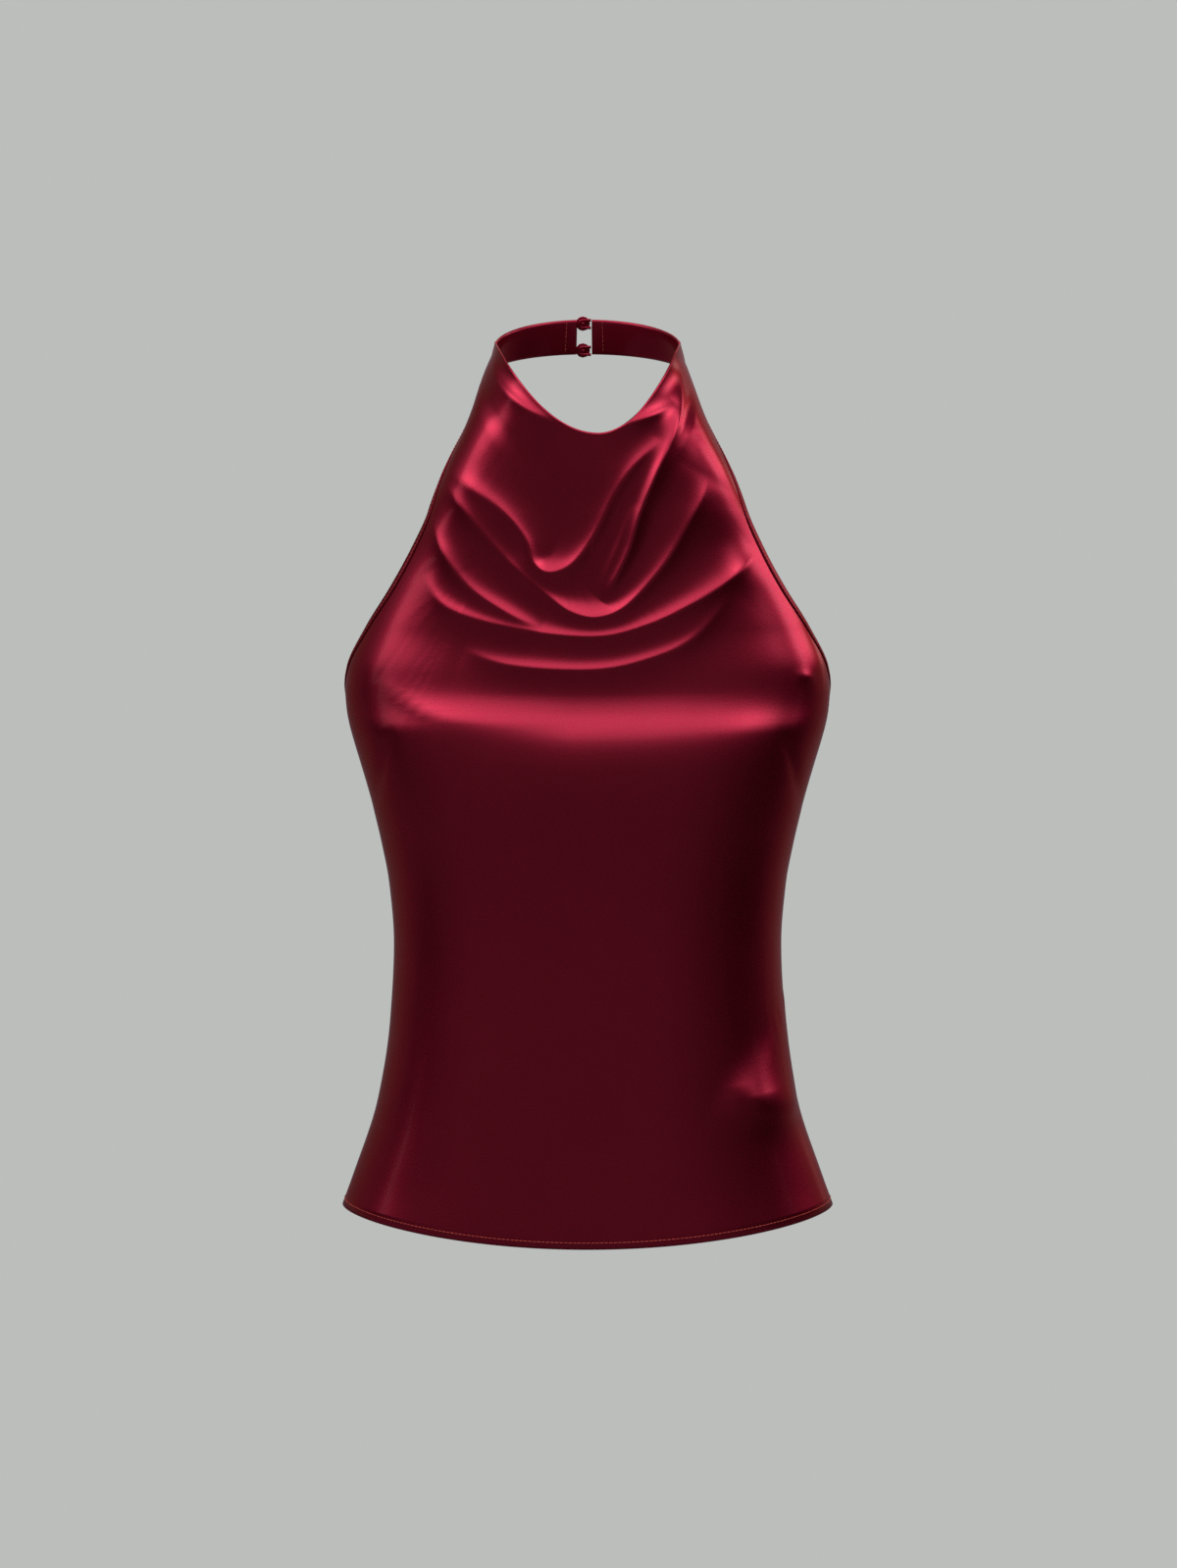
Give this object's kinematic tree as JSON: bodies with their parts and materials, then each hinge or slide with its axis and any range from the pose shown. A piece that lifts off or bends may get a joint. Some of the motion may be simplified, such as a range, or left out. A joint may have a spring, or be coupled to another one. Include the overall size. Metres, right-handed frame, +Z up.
{
  "type": "halter neck top",
  "caption": "Sleeveless satin top with a draped cowl front that hangs from a buttoned neck band, bust darts, a low back and an open upper back.",
  "frame": {"origin": "centre of the neck ring, level with the front ends of the neck band, where the wearer's neck holds the top", "axes": "+Z up, front facing -Y, +X on the right of someone who looks at the front"},
  "size_m": [0.3266, 0.2263, 0.6071],
  "materials": {
    "satin": "satin"
  },
  "bodies": {
    "root": {"front": "satin", "back": "satin", "armhole_binding_left": "satin", "armhole_binding_right": "satin", "back_binding": "satin", "neck_band_left": "satin", "neck_band_right": "satin", "button_upper": "satin", "button_lower": "satin", "loop_upper": "satin", "loop_lower": "satin"}
  },
  "joints": []
}
